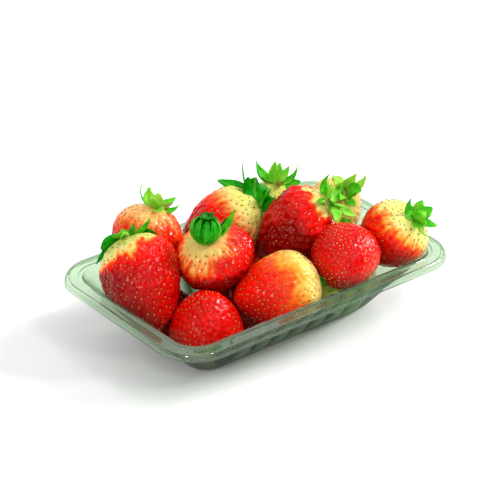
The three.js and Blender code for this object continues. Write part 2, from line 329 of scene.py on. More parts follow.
tray_points, tray_faces = tray_mesh()
print("Tray size in mm:", np.round(np.ptp(tray_points[:, :3], axis=0), 1), "faces:", len(tray_faces))

# %% [markdown]
# ## The tray's material: clear green PET
# PET is the clear plastic of salad trays. Formed sheet is glossy and slightly wavy, and looks green because
# it is recycled: pale where it is seen square on, deeper where it is seen aslant and in the thick valleys
# between flutes, as the eye then looks through more of it. So the tint comes from the slant and from the
# thickness kept in the mesh. So thin a sheet hardly shifts what lies behind it: its refraction is set low,
# and its shine apart from that, glossy above and duller on the side that touched the mould. Clear plastic
# casts a light shadow, but Cycles would make it dark, so shadow rays meet a plain see-through shader.

# %% PET
PET_IOR, PET_GLOSS_IOR = 1.15, 1.57
TOP_SHINE, MOULD_SHINE = 1.4, 0.6
PET_TINTS = [(0.0, "#E4F0E2"), (1.0, "#4C8050"), (0.52, "#DCEDD7"), (0.72, "#A8CEA0")]
PET_THICK = "#52905C"
PET_SHADOW_TINT = "#D2DAD2"
PET_MILK = "#C9E3CB"
PET_MILKINESS = 0.05
SHEET_WAVE, WAVE_HEIGHT = 9 * MM, 0.4 * MM
HAZE_GRAIN = 6 * MM

# Recycled PET sheet, heated and sucked into a mould. It gives the eye a faint green, soft ripples and
# clear reflections along its beads.
pet, t = blank_material("clear_green_pet_thermoformed")
where = node(t, "TexCoord")
wave = node(t, "TexNoise", {"Vector": where.outputs["Object"], "Scale": 1 / SHEET_WAVE, "Detail": 1.0})
haze = node(t, "TexNoise", {"Vector": where.outputs["Object"], "Scale": 1 / HAZE_GRAIN, "Detail": 3.0})
gloss = node(t, "MapRange",
             {"Value": haze, "From Min": 0.35, "From Max": 0.7, "To Min": 0.0, "To Max": 0.02})
ripple = node(t, "Bump", {"Height": wave, "Strength": 0.10, "Distance": WAVE_HEIGHT})
slant = node(t, "LayerWeight", {"Blend": 0.5})
tint = node(t, "ValToRGB", {"Fac": slant.outputs["Facing"]}, stops=PET_TINTS)
thick = node(t, "Attribute", attribute_name="thick")
greener = node(t, "Mix", {"Factor": thick.outputs["Fac"], 6: tint, 7: linear(PET_THICK)}, data_type="RGBA")
bent = node(t, "BsdfRefraction",
            {"Color": greener.outputs[2], "Roughness": gloss, "IOR": PET_IOR, "Normal": ripple})
shine = node(t, "BsdfGlossy", {"Roughness": gloss, "Normal": ripple})
here = node(t, "NewGeometry")
upward = node(t, "SeparateXYZ", {"Vector": here.outputs["Normal"]})
side_shine = node(t, "MapRange", {"Value": upward.outputs["Z"], "From Min": -0.1, "From Max": 0.1,
                                  "To Min": MOULD_SHINE, "To Max": TOP_SHINE})
mirrored = node(t, "Fresnel", {"IOR": PET_GLOSS_IOR, "Normal": ripple})
outside = node(t, "Math", {0: mirrored, 1: side_shine}, operation="MULTIPLY")
inside = node(t, "Fresnel", {"IOR": PET_IOR, "Normal": ripple})
shine_share = node(t, "Mix",
                   {"Factor": here.outputs["Backfacing"], 2: outside, 3: inside}, data_type="FLOAT")
sheet = node(t, "MixShader", {"Fac": shine_share, 1: bent, 2: shine})
milk = node(t, "BsdfTranslucent", {"Color": linear(PET_MILK)})
milk_front = node(t, "BsdfDiffuse", {"Color": linear(PET_MILK)})
milk_mix = node(t, "MixShader", {"Fac": 0.5, 1: milk, 2: milk_front})
hazy = node(t, "MixShader", {"Fac": PET_MILKINESS, 1: sheet, 2: milk_mix})
see_through = node(t, "BsdfTransparent", {"Color": linear(PET_SHADOW_TINT)})
ray = node(t, "LightPath")
passing = node(t, "Math",
               {0: ray.outputs["Is Shadow Ray"], 1: ray.outputs["Is Diffuse Ray"]}, operation="MAXIMUM")
pet_mix = node(t, "MixShader", {"Fac": passing, 1: hazy, 2: see_through})
node(t, "OutputMaterial", {"Surface": pet_mix})

tray = mesh_piece("tray_sheet", tray_points[:, :3], tray_faces, [pet],
                  thick=np.clip(tray_points[:, 3], 0, 1))
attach(tray, "root")
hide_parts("tray")
print("The tray is in, with", len(tray.data.polygons), "faces")

# %% [markdown]
# ## Where each strawberry lies
# A strawberry is a cone with a round shoulder, and no two are alike. Each is described by its middle, the
# way it points from calyx to tip (a compass heading and a tilt), its length and width in millimetres, and
# how far down its widest place is. Eleven lie on top, and five on the base hold them up.

# %% The berries
BERRIES = {
    # name: middle, heading, tilt, length, width, shoulder
    "left": ((-66.4, 10.5, 41), -104, -50, 52, 40, 0.32),
    "back_left": ((-44.5, 39, 48), 176, -69, 37, 36, 0.4),
    "squat": ((-28, 0, 47), 29, -66, 34, 40, 0.4),
    "big_back": ((1, 31, 43.5), 149, -25, 46, 37.5, 0.33),
    "green": ((34, 31, 40), -168, -76, 37, 31.5, 0.35),
    "glossy": ((24.3, -2.8, 48.3), 146, -42, 48.5, 39.5, 0.33),
    "dark": ((29, -37, 44), -135, -9, 40.5, 35, 0.42),
    "near": ((-9, -28, 34), 159, -9, 46, 39, 0.36),
    "tan": ((56, 5.5, 46), 92, -56, 36, 32, 0.38),
    "right": ((66, -32, 42.5), 122, -44, 39, 35.5, 0.38),
    "corner": ((-48, -18.5, 22), -80, 79, 41, 39, 0.4),
    "under_left": ((-51, 13, 14.6), -160, 5, 31, 28.5, 0.38),
    "under_middle": ((-14.5, -1.5, 17.5), -110, -35, 38, 36, 0.4),
    "under_back": ((16, 17.5, 18), 80, 5, 40, 36, 0.36),
    "under_front": ((45, -19, 19), 30, 14, 44, 36, 0.36),
    "under_right": ((48, 18, 17.7), 100, 5, 42, 35, 0.36),
}
ORDER = {name: place for place, name in enumerate(BERRIES)}


def unit_axes(heading, tilt):
    """Three unit vectors: one along a heading and a tilt, and two across it."""
    h, t = np.radians(heading), np.radians(tilt)
    along = np.array([np.cos(h) * np.cos(t), np.sin(h) * np.cos(t), np.sin(t)])
    side = np.array([-np.sin(h), np.cos(h), 0])
    return along, side, np.cross(along, side)


def axes(name):
    """Three unit vectors: from the berry's calyx to its tip, and two across it."""
    return unit_axes(*BERRIES[name][1:3])


print("Berries:", len(BERRIES))

# %% [markdown]
# The body is a surface of revolution with small lumps. Its points start on a ball: a cube's grid, blown up.
# That gives even squares and no poles, where a turned shape would crowd its points at the tip. Each point
# of the ball is sent to the place on the berry that has the same share of the surface behind it, so the
# spacing stays even, and the seeds can be spread on the same ball. The ball's top becomes the calyx end,
# which turns it inside out, so its faces are wound the other way.

# %% From a ball to a berry
# how oval and how lobed a berry is, as shares of its radius, then what rounds its outline
OVALNESS, LOBES = 0.03, 0.02
SHOULDER_POWER, TIP_POWER, TIP_FULLNESS = 2, 1.8, 1.65
PROFILE_STEPS = 400


def profile(t, shoulder):
    """A berry's radius from calyx (0) to tip (1), as a share of its widest."""
    upper = 1 - (np.clip(shoulder - t, 0, None) / shoulder) ** SHOULDER_POWER
    lower = 1 - (np.clip(t - shoulder, 0, None) / (1 - shoulder)) ** TIP_POWER
    return np.where(t < shoulder, np.sqrt(np.clip(upper, 0, 1)), np.clip(lower, 0, 1) ** (1 / TIP_FULLNESS))


def on_berry(name, ball):
    """Points of the unit ball (z from tip to calyx) as points of the berry, their t and their angle."""
    at, _, _, length, width, shoulder = BERRIES[name]
    steps = (1 - np.cos(np.linspace(0, np.pi, PROFILE_STEPS))) / 2
    radius = profile(steps, shoulder) * width / 2
    slant = np.hypot(np.diff(steps * length), np.diff(radius))
    area = np.concatenate([[0], np.cumsum(slant * (radius[1:] + radius[:-1]))])
    t = np.interp((1 - ball[:, 2]) / 2, area / area[-1], steps)
    angle = np.arctan2(ball[:, 1], ball[:, 0])
    order = ORDER[name]
    uneven = 1 + OVALNESS * np.cos(2 * angle + order) + LOBES * np.cos(3 * angle + 2 * order + 2 * t)
    out = profile(t, shoulder) * width / 2 * uneven
    along, side, up = axes(name)
    points = (np.array(at) + np.outer((t - 0.5) * length, along)
              + np.outer(out * np.cos(angle), side) + np.outer(out * np.sin(angle), up))
    return points, t, angle


def ball_grid(cuts):
    """An even grid of points and faces on the unit ball, from a cube cut that many times each way."""
    grid = bmesh.new()
    bmesh.ops.create_cube(grid, size=2)
    bmesh.ops.subdivide_edges(grid, edges=grid.edges[:], cuts=cuts - 1, use_grid_fill=True)
    cube = np.array([v.co[:] for v in grid.verts])
    faces = [[v.index for v in face.verts][::-1] for face in grid.faces]
    grid.free()
    bowed = np.tan(cube * np.pi / 4)
    return bowed / np.linalg.norm(bowed, axis=1, keepdims=True), faces


TOP_CUTS, UNDER_CUTS = 64, 32
grids = {cuts: ball_grid(cuts) for cuts in (TOP_CUTS, UNDER_CUTS)}
print("Points on a berry's ball:", {cuts: len(ball) for cuts, (ball, _) in grids.items()})

# %% [markdown]
# ## Seeds and dimples
# The seeds of a strawberry sit in rows that spiral round it, each in its own bowl, and the skin swells to
# ridges between them. A sunflower spiral on the ball gives that spacing in one line, and a little chance in
# it keeps the bowls uneven. Every bowl is pressed into the skin as a real dent, with a pit round the seed
# that is longer toward the tip than across, so that light runs round its edge. Bowls that lie farther apart
# are deeper, as the skin between them has swollen more.

# %% Seeds and dimples
GOLDEN_TURN = np.pi * (3 - np.sqrt(5))
SEED_DISORDER = 0.72
# a bowl's depth in millimetres where seeds are the usual distance apart, and what shapes it
BOWL_DEPTH, USUAL_SPACING = 0.62, 3.2
BOWL_LENGTHEN, BOWL_UNEVEN, BOWL_EXTRA = 1.15, 0.8, 0.2
RIDGE_SOFTNESS, RIDGE_PART = 0.32, 8
PIT_RADIUS, PIT_DEPTH, PIT_LENGTHEN = 0.62, 0.30, 1.3
SEED_LENGTH, SEED_WIDTH, SEED_THICKNESS = 1.25, 0.72, 0.42
# seeds vary in size and tone, stand out a little, and keep this share of their distance from a mesh point
SEED_SIZES, SEED_TONES = (0.8, 1.15), (0, 0.7)
SEED_RISE, SEED_KEEPS = 0.15, 0.9
SEED_SIDES = 6
BARE_TOP = 0.045
# berries whose bowls are deeper than the others'
LUMPINESS = {"glossy": 1.7, "left": 1.2, "corner": 1.1}


def seed_ball(count, dice):
    """Seed places on the unit ball: a spiral with a little disorder."""
    k = np.arange(count) + 0.5
    height = 1 - 2 * k / count
    turn = k * GOLDEN_TURN
    flat = np.sqrt(1 - height ** 2)
    places = np.stack([flat * np.cos(turn), flat * np.sin(turn), height], axis=1)
    places += dice.normal(0, SEED_DISORDER / np.sqrt(count), places.shape)
    return places / np.linalg.norm(places, axis=1, keepdims=True)


def seed_template():
    """One seed as a drop along x: blunt behind, pointed in front."""
    sides = SEED_SIDES
    rings = [(-0.5, 0.0), (-0.28, 0.42), (0.12, 0.46), (0.5, 0.0)]
    points = [(rings[0][0], 0, 0)]
    for x, r in rings[1:-1]:
        turns = np.linspace(0, 2 * np.pi, sides, endpoint=False)
        points += [(x, r * np.cos(a), r * np.sin(a)) for a in turns]
    points.append((rings[-1][0], 0, 0))
    faces = [(0, 1 + (k + 1) % sides, 1 + k) for k in range(sides)]
    for k in range(sides):
        a, b = 1 + k, 1 + (k + 1) % sides
        faces += [(a, b, b + sides, a + sides), (a + sides, b + sides, 2 * sides + 1)]
    return np.array(points) * (SEED_LENGTH, SEED_WIDTH, SEED_THICKNESS), faces


SEED_POINTS, SEED_FACES = seed_template()
print("Faces in a seed:", len(SEED_FACES))

# %% [markdown]
# ## How ripe, and where
# Strawberries redden from the tip up, and the side that lay in the shade stays pale. So each berry has a
# place along it where the red starts, how softly it starts, how red it gets, how dark its red is, and a
# direction in which it is paler. Fine streaks run along the berry where the colour turns. Red that has just
# come in is bright, and it is deepest farther on. On the side turned down, away from the light, the red is
# darker still, as painted shade. The ripeness is worked out for every point and kept in the mesh.

# %% Ripeness
RIPENESS = {
    # name: where half red, softness, least and most red, darkness, paler toward (x, y, z), seeds
    "left": (0.16, 0.07, 0.0, 1.0, 0.55, (-0.11, -0.01, -0.02), 430),
    "back_left": (0.32, 0.18, 0.17, 0.88, 0.75, (-0.11, 0.04, -0.16), 340),
    "squat": (0.17, 0.16, 0.08, 0.98, 0.75, (-0.05, 0.05, -0.09), 380),
    "big_back": (0.37, 0.20, 0.05, 0.95, 0.6, (0.0, 0.10, 0.02), 400),
    "green": (1.15, 0.9, 0.0, 0.9, 0.6, (0, 0, 0), 330),
    "glossy": (0.10, 0.05, 0.08, 1.0, 0.72, (0.01, 0.02, 0.0), 360),
    "dark": (-0.10, 0.10, 0.0, 1.0, 0.38, (0.0, 0.0, -0.1), 720),
    "near": (0.52, 0.27, 0.20, 0.92, 0.05, (-0.04, 0.15, -0.04), 500),
    "tan": (0.95, 0.9, 0.12, 0.5, 0.9, (0, 0, 0), 330),
    "right": (0.39, 0.13, 0.05, 0.94, 0.1, (-0.03, 0.18, -0.13), 380),
    "corner": (-0.02, 0.12, 0.0, 0.98, 0.32, (0.12, -0.05, 0.0), 520),
    # the high darkness of under_left, under_middle and under_back is painted shade, for the shadow of the
    # berries heaped on them
    "under_left": (0.05, 0.12, 0.0, 1.0, 1.1, (0, 0, 0), 260),
    "under_middle": (0.05, 0.12, 0.0, 1.0, 1.1, (0, 0, 0), 260),
    "under_back": (0.15, 0.15, 0.0, 1.0, 0.8, (0, 0, 0), 260),
    "under_front": (0.55, 0.3, 0.0, 0.8, 0.1, (0.0, -0.2, 0.0), 260),
    "under_right": (0.25, 0.2, 0.0, 0.9, 0.2, (0, 0, 0), 260),
}
# a wandering number is a sum of waves, of these sizes as shares of the one asked for
WAVES, WAVE_SIZES, WAVE_CALM = 7, (0.6, 1.4), 1.2


def wander(points, size, dice):
    """A smooth random number from about -1 to 1 at each point, changing over that many millimetres."""
    total = np.zeros(len(points))
    for _ in range(WAVES):
        way = dice.normal(size=3)
        way *= 2 * np.pi / size / np.linalg.norm(way) * dice.uniform(*WAVE_SIZES)
        total += np.sin(points @ way + dice.uniform(0, 2 * np.pi))
    return total / np.sqrt(WAVES) / WAVE_CALM


# how far the red's edge wavers and over how many millimetres; how many streaks and over what they sway
EDGE_WAVERS = ((0.03, 14), (0.018, 6))
STREAK, STREAK_SOFTEST, STREAK_SWAY = 0.10, 0.16, 2
STREAKS = ((17, 12), (31, 9))
# the way to the shade, times how strongly painted shade darkens the red there
SHADED_SIDE = 1.3 * np.array([-0.45, -0.05, -0.89])
FRESH_RED, FRESH_AT, FRESH_BAND = 0.75, 0.09, 0.11
DARK_PATCHES, DARK_PATCH_SIZE = 0.12, 20


def ripeness(name, points, t, angle, dice):
    """How red each point is, from 0 (pale) to 1."""
    start, softness, least, most, _, paler, _ = RIPENESS[name]
    middle, width = np.array(BERRIES[name][0]), BERRIES[name][4]
    outward = (points - middle) / (width / 2)
    edge = start + outward @ np.array(paler)
    for reach, size in EDGE_WAVERS:
        edge = edge + reach * wander(points, size, dice)
    streaks = sum(np.sin(angle * count + STREAK_SWAY * wander(points, size, dice)) for count, size in STREAKS)
    edge = edge + STREAK * min(softness, STREAK_SOFTEST) * streaks
    rise = np.clip((t - edge) / softness / 2 + 0.5, 0, 1)
    return least + (most - least) * rise ** 2 * (3 - 2 * rise)


print("Berries that are red all over:", [n for n, ripe in RIPENESS.items() if ripe[0] < 0])

# %% [markdown]
# ## Strawberry skin
# The skin is a thin, glossy, wet-looking film over juicy flesh, so light enters, spreads a little and comes
# out redder. Unripe skin is cream, and turns peach and orange before it is red. The colours are mixed from
# the ripeness kept in the mesh, and darkened in the dimples and on the side turned down as painted shade.

# %% Skin material
SKIN_FLECK, SKIN_PORE = 2.2 * MM, 0.35 * MM
# painted shade in the dimples: how strongly they are darkened, and toward what red
PIT_SHADE_SHARE, PIT_SHADE_RED = 0.75, "#7A0405"
NOISE_SPAN = {"From Min": 0.3, "From Max": 0.7}
RIPE_STOPS = [(0.0, "#CCD66A"), (1.0, "#EC0602"), (0.14, "#EADB82"), (0.32, "#F2AE4A"),
              (0.48, "#F88C20"), (0.62, "#F6500A"), (0.80, "#F21E03")]
# darker colours, for berries whose own red is darker and for painted shade
DEEP_TONE_AND_SHADE_STOPS = [(0.0, "#A6A844"), (1.0, "#7E0202"), (0.14, "#CCB25C"), (0.32, "#F0A060"),
              (0.48, "#D9502C"), (0.62, "#C4240C"), (0.80, "#B00C06")]

# Strawberry skin: a waxy film over wet flesh. It gives the eye a deep, soft red with small sharp glints.
skin, t = blank_material("strawberry_skin")
ripe, pit, deep = [node(t, "Attribute", attribute_name=name) for name in ("ripe", "pit", "deep")]
where = node(t, "TexCoord")
fleck = node(t, "TexNoise",
             {"Vector": where.outputs["Object"], "Scale": 1 / SKIN_FLECK, "Detail": 4.0, "Roughness": 0.6})
fleck_shift = node(t, "MapRange", {"Value": fleck, **NOISE_SPAN, "To Min": -0.06, "To Max": 0.06})
mottled = node(t, "Math", {0: ripe.outputs["Fac"], 1: fleck_shift}, operation="ADD", use_clamp=True)
red = node(t, "ValToRGB", {"Fac": mottled}, stops=RIPE_STOPS)
# The darker ramp is mixed in by a number kept in the mesh: each berry's own darker tone, plus painted shade
# on its down-turned side and on the berries low in the heap.
dark = node(t, "ValToRGB", {"Fac": mottled}, stops=DEEP_TONE_AND_SHADE_STOPS)
body = node(t, "Mix", {"Factor": deep.outputs["Fac"], 6: red, 7: dark}, data_type="RGBA")
# painted shade: the dimple round each seed is darkened, more where the skin is red
pit_shade = node(t, "Math", {0: pit.outputs["Fac"], 1: ripe.outputs["Fac"]}, operation="MULTIPLY")
pit_shade_share = node(t, "Math", {0: pit_shade, 1: PIT_SHADE_SHARE}, operation="MULTIPLY")
pit_shaded = node(t, "Mix", {"Factor": pit_shade_share, 6: body.outputs[2], 7: linear(PIT_SHADE_RED)}, data_type="RGBA")
pore = node(t, "TexNoise", {"Vector": where.outputs["Object"], "Scale": 1 / SKIN_PORE, "Detail": 2.0})
skin_bump = node(t, "Bump", {"Height": pore, "Strength": 0.12, "Distance": 0.06 * MM})
skin_rough = node(t, "MapRange", {"Value": fleck, **NOISE_SPAN, "To Min": 0.08, "To Max": 0.14})
flesh = node(t, "BsdfPrincipled", {"Base Color": pit_shaded.outputs[2], "Roughness": skin_rough, "IOR": 1.38,
                                   "Specular IOR Level": 0.25, "Subsurface Weight": 0.06,
                                   "Subsurface Scale": 1.0 * MM, "Normal": skin_bump})
flesh.inputs["Subsurface Radius"].default_value = (1.0, 0.25, 0.12)
node(t, "OutputMaterial", {"Surface": flesh})
print("Skin nodes:", len(t.nodes))

# %% [markdown]
# Seeds are straw-coloured on red skin and brown on pale skin, so their colour too follows the ripeness kept
# in the mesh, and each has a tone of its own. Nothing finer shows on things so small.

# %% Seed material
SEED_STOPS = [(0.0, "#4A3A14"), (1.0, "#DE9444"), (0.35, "#6A4816"), (0.6, "#DC8E34")]
SEED_RED = "#B4441C"

# The dry husk of a seed: hard, smooth and straw-coloured. It gives the eye a grid of small light points.
seed_husk, t = blank_material("strawberry_seed")
ripe, tone = [node(t, "Attribute", attribute_name=name) for name in ("ripe", "pit")]
straw = node(t, "ValToRGB", {"Fac": ripe.outputs["Fac"]}, stops=SEED_STOPS)
varied = node(t, "Mix", {"Factor": tone.outputs["Fac"], 6: straw, 7: linear(SEED_RED)}, data_type="RGBA")
husk = node(t, "BsdfPrincipled", {"Base Color": varied.outputs[2], "Roughness": 0.35, "IOR": 1.5})
node(t, "OutputMaterial", {"Surface": husk})
print("Seed nodes:", len(t.nodes))

# %% [markdown]
# ## Keeping the berries inside the tray
# Berries that lean on the wall are flattened a little by it. A point that would be in the wall is moved
# back along the shortest way, to a hair's breadth from the sheet.

# %% Room inside the tray
CLEARANCE, TOP_FREE = 0.35, 0.2


def keep_inside(points):
    """Moves points that are in the tray's wall or base to just inside it."""
    points = points.copy()
    floor = SHEET + CLEARANCE
    points[:, 2] = np.maximum(points[:, 2], floor)
    share = np.clip(points[:, 2] / WALL_HEIGHT, 0, 1)
    size = [low + (high - low) * share - 2 * (WALL_INSET + CLEARANCE)
            for low, high in ((BASE_LENGTH, MOUTH_LENGTH), (BASE_WIDTH, MOUTH_WIDTH))]
    turn = BASE_CORNER + (MOUTH_CORNER - BASE_CORNER) * share - WALL_INSET - CLEARANCE
    flat = np.abs(points[:, :2])
    over = flat - (np.stack(size, axis=1) / 2 - turn[:, None])
    out = np.clip(over, 0, None)
    reach = np.linalg.norm(out, axis=1)
    outside = (reach > turn) & (points[:, 2] < RIM_HEIGHT - TOP_FREE)
    pull = np.where(outside, turn / np.maximum(reach, 1e-6), 1)
    moved = flat - out * (1 - pull)[:, None]
    points[:, :2] = np.sign(points[:, :2]) * moved
    return points


print("A point in the wall goes to", np.round(keep_inside(np.array([[80.0, 0, 15]])), 1))

# %% [markdown]
# ## Making the berries
# Each berry is one mesh with two finishes: the dimpled skin, and its seeds lying in the dimples.

# %% Make the berries
# broad dents in the body in millimetres, then how strong the bowls are on pale and, added, on red skin
DENT_SIZE, DENT_DEPTH = 17, 0.35
PALE_RELIEF, RED_RELIEF = 0.45, 0.55
RELIEF_PATCHES, RELIEF_PATCH_SIZE = 0.3, 9
FIRST_DICE = 100


def unit(rows):
    """Rows of vectors at length one."""
    return rows / np.maximum(np.linalg.norm(rows, axis=1, keepdims=True), 1e-9)


def berry(name):
    """One strawberry, without its calyx."""
    dice = np.random.default_rng(FIRST_DICE + ORDER[name])
    ball, faces = grids[UNDER_CUTS if name.startswith("under") else TOP_CUTS]
    points, t, angle = on_berry(name, ball)
    dents = DENT_DEPTH * wander(points, DENT_SIZE, dice)
    points = points + unit(points - BERRIES[name][0]) * dents[:, None]
    bare = mesh_piece("bare", points, faces, [])
    outward = np.empty(len(points) * 3)
    bare.data.vertices.foreach_get("normal", outward)
    outward = outward.reshape(-1, 3)
    bpy.data.meshes.remove(bare.data)
    red = ripeness(name, points, t, angle, dice)

    seeds = seed_ball(RIPENESS[name][6], dice)
    places, seed_t, _ = on_berry(name, seeds)
    seeds, places = seeds[seed_t > BARE_TOP], places[seed_t > BARE_TOP]
    nearest = np.argmax(seeds @ ball.T, axis=1)
    seed_red, normal = red[nearest], outward[nearest]
    places = points[nearest] + (places - points[nearest]) * SEED_KEEPS
    tipward = unit(axes(name)[0] - normal * (normal @ axes(name)[0])[:, None])
    across = np.cross(normal, tipward)

    apart = [points @ way.T - np.sum(places * way, axis=1) for way in (tipward, across, normal)]
    square = (apart[0] / BOWL_LENGTHEN) ** 2 + apart[1] ** 2 + apart[2] ** 2
    square = square + dice.uniform(0, BOWL_UNEVEN, len(places))
    near = np.min(square, axis=1)
    bowl = near - RIDGE_SOFTNESS * np.log(np.exp((near[:, None] - square) / RIDGE_SOFTNESS).sum(axis=1))
    usual = np.median(np.sort(bowl)[-len(bowl) // RIDGE_PART:])
    bowl = 1 - np.clip(bowl / usual, -BOWL_EXTRA, 1)
    spread = (apart[0] / PIT_LENGTHEN) ** 2 + apart[1] ** 2 + apart[2] ** 2
    pit = np.exp(-spread / PIT_RADIUS ** 2).sum(axis=1)
    spacing = np.sqrt(4 * np.pi / RIPENESS[name][6]) * BERRIES[name][4] / 2
    bowl_depth = BOWL_DEPTH * (spacing / USUAL_SPACING) ** 2 * LUMPINESS.get(name, 1)
    strength = PALE_RELIEF + RED_RELIEF * red
    strength = strength * (1 + RELIEF_PATCHES * wander(points, RELIEF_PATCH_SIZE, dice))
    sunk = strength * (bowl_depth * (bowl - 1) + PIT_DEPTH * pit)
    skin_points = keep_inside(points - outward * sunk[:, None])

    seed_sunk = strength[nearest] * PIT_DEPTH - SEED_RISE
    size = dice.uniform(*SEED_SIZES, len(places))
    base = keep_inside(places - normal * seed_sunk[:, None])
    shape = SEED_POINTS[None, :, :] * size[:, None, None]
    seed_points = (base[:, None, :] + shape[:, :, :1] * tipward[:, None, :]
                   + shape[:, :, 1:2] * across[:, None, :] + shape[:, :, 2:] * normal[:, None, :])
    count = len(SEED_POINTS)
    first = len(points)
    seed_faces = [[first + k * count + v for v in face] for k in range(len(places)) for face in SEED_FACES]
    tone = dice.uniform(*SEED_TONES, len(places))
    past = (t - RIPENESS[name][0] - FRESH_AT) / FRESH_BAND
    shade = RIPENESS[name][4] * (1 - FRESH_RED * np.exp(-past ** 2))
    shade = shade + DARK_PATCHES * wander(points, DARK_PATCH_SIZE, dice)
    # painted shade: red skin turned down, and a little toward -x, away from the windows, is darkened
    shade = shade + red * np.clip(outward @ SHADED_SIDE, 0, 1)
    return mesh_piece(
        "berry_" + name,
        np.vstack([skin_points, seed_points.reshape(-1, 3)]),
        faces + seed_faces,
        [skin, seed_husk],
        finish=[0] * len(faces) + [1] * len(seed_faces),
        ripe=np.concatenate([red, np.repeat(seed_red, count)]),
        # the pit's shape, which the skin also darkens as painted shade; on the seeds, their tone
        pit=np.concatenate([np.clip(pit, 0, 1), np.repeat(tone, count)]),
        # how dark the skin is: its own darker tone plus painted shade
        deep=np.concatenate([np.clip(shade, 0, 1), np.zeros(len(places) * count)]),
    )


for name in BERRIES:
    piece = berry(name)
    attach(piece, "root")
    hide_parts("strawberries")
print("Faces in the last berry:", len(piece.data.polygons))

# %% [markdown]
# ## The calyx leaves
# A strawberry's green cap is a ring of small leaves, some broad and some narrow, round the stub of the
# stalk. They are thin, ribbed along the middle, and curl as they dry. One cap here is still closed like a
# bud, with a tuft on top and two leaves beside it, so these parts get roots of their own. Each leaf is a
# small grid that is bent along its length, creased along its rib and waved at its edges. A Solidify
# modifier gives it thickness and a Subdivision modifier rounds it, so the grid itself stays coarse and easy
# to place.

# %% Leaf shapes
# lengths in millimetres; the fold is a share of the half width, the wave a share of the width
LEAF_ROWS, LEAF_COLUMNS = 7, 4
LEAF_THICKNESS, LEAF_BREADTH = 0.4, 1.4
LEAF_FOLD, LEAF_WAVE, LEAF_WAVES = 0.25, 0.10, 5
CALYX_RADIUS, STALK_DEPTH = 5.0, 0.4
LEAF_SHAPES = {
    # half width at even steps from base to tip, as a share of the widest, and how far the edge falls short
    "pointed": ([0.42, 0.80, 1.0, 0.98, 0.82, 0.56, 0.28, 0.06], 0.0, 0.0),
    "blunt": ([0.40, 0.70, 0.90, 1.0, 1.0, 0.94, 0.80, 0.55], 0.22, 0.0),
    "lobed": ([0.40, 0.62, 0.82, 0.96, 1.0, 1.0, 0.95, 0.80], 0.16, 0.26),
    "thin": ([0.7, 0.9, 1.0, 0.95, 0.85, 0.7, 0.45, 0.12], 0.0, 0.0),
}
CAPS = {
    # a cap that isn't its berry's usual one: the berry, heading, tilt, where its root is from the calyx,
    # and how far out from the root its leaves start
    "squat": ("squat", 150, -84, (-3.6, -0.2, -1.0), 1.6),
    "squat_tuft": ("squat", 150, -84, (-2.4, -0.9, 12.4), 0.9),
    "squat_side": ("squat", 150, -84, (0, 0, 0), 2.5),
}


def leaf_grid(name, around, length, width, leave, end, roll=0, shape="pointed", tone=0.5):
    """Points of one leaf, laid out on its berry, with how far along and across each one is."""
    own = (name, *BERRIES[name][1:3], (0, 0, 0), CALYX_RADIUS / 2) if name in BERRIES else None
    of, heading, tilt, shift, spread = CAPS.get(name, own)
    at, _, _, berry_length, *_ = BERRIES[of]
    along, side, up = unit_axes(heading, tilt)
    top = np.array(at) - axes(of)[0] * (berry_length / 2 - STALK_DEPTH) + shift
    turn = np.radians(around)
    outward = side * np.cos(turn) + up * np.sin(turn)
    across = np.cross(along, outward)
    widths, round_off, teeth = LEAF_SHAPES[shape]
    spine = top + outward * spread
    rows = []
    step = length / LEAF_ROWS
    lean = np.radians(roll)
    for row in range(LEAF_ROWS + 1):
        v = row / LEAF_ROWS
        bend = np.radians(leave + (end - leave) * v)
        forward = outward * np.cos(bend) - along * np.sin(bend)
        lifted = outward * np.sin(bend) + along * np.cos(bend)
        over = across * np.cos(lean) - lifted * np.sin(lean)
        face = -(lifted * np.cos(lean) + across * np.sin(lean))
        half = LEAF_BREADTH * width / 2 * widths[row]
        for column in range(LEAF_COLUMNS + 1):
            u = 2 * column / LEAF_COLUMNS - 1
            short = v ** 2 * length * (round_off * u ** 2 + teeth * (1 - np.cos(2 * np.pi * u)) / 2)
            wave = LEAF_WAVE * width * u * np.sin(LEAF_WAVES * v + around) * v
            fold = LEAF_FOLD * half * abs(u) + wave
            rows.append((*(spine + over * half * u + face * fold - forward * short), v, u, tone))
        spine = spine + forward * step
    return rows


print("Leaf shapes:", ", ".join(LEAF_SHAPES))

# %% [markdown]
# A calyx leaf is so thin that light glows through it, so it is partly a translucent shader and for the rest
# a satin one. Noise gives it lighter and darker blotches, its rib is paler, and a leaf with a tone above 1
# is dry and brown.

# %% Leaf material
LEAF_BLOTCH, LEAF_VEIN = 3 * MM, 1.1 * MM
LEAF_STOPS = [(0.0, "#066A02"), (1.0, "#C4EA60"), (0.3, "#10A804"), (0.55, "#58CC1C"), (0.8, "#9CE040")]
RIB_GREEN, DRY_BROWN = "#B8DC78", "#8A5A30"
LEAF_GLOW = 0.3

# Calyx leaf: soft green tissue under a little wax. It gives the eye a satin green that lights up where
# the light comes through it.
leaf_skin, t = blank_material("strawberry_calyx_leaf")
v_along, u_across, light = [node(t, "Attribute", attribute_name=name)
                            for name in ("along", "across", "light")]
where = node(t, "TexCoord")
blotch = node(t, "TexNoise", {"Vector": where.outputs["Object"], "Scale": 1 / LEAF_BLOTCH, "Detail": 3.0})
blotch_shift = node(t, "MapRange", {"Value": blotch, **NOISE_SPAN, "To Min": -0.16, "To Max": 0.16})
base_light = node(t, "MapRange", {"Value": v_along.outputs["Fac"], "From Min": 0.0, "From Max": 0.5,
                                  "To Min": 0.2, "To Max": 0.0})
paler = node(t, "Math", {0: light.outputs["Fac"], 1: base_light}, operation="ADD")
shifted = node(t, "Math", {0: paler, 1: blotch_shift}, operation="ADD", use_clamp=True)
green = node(t, "ValToRGB", {"Fac": shifted}, stops=LEAF_STOPS)
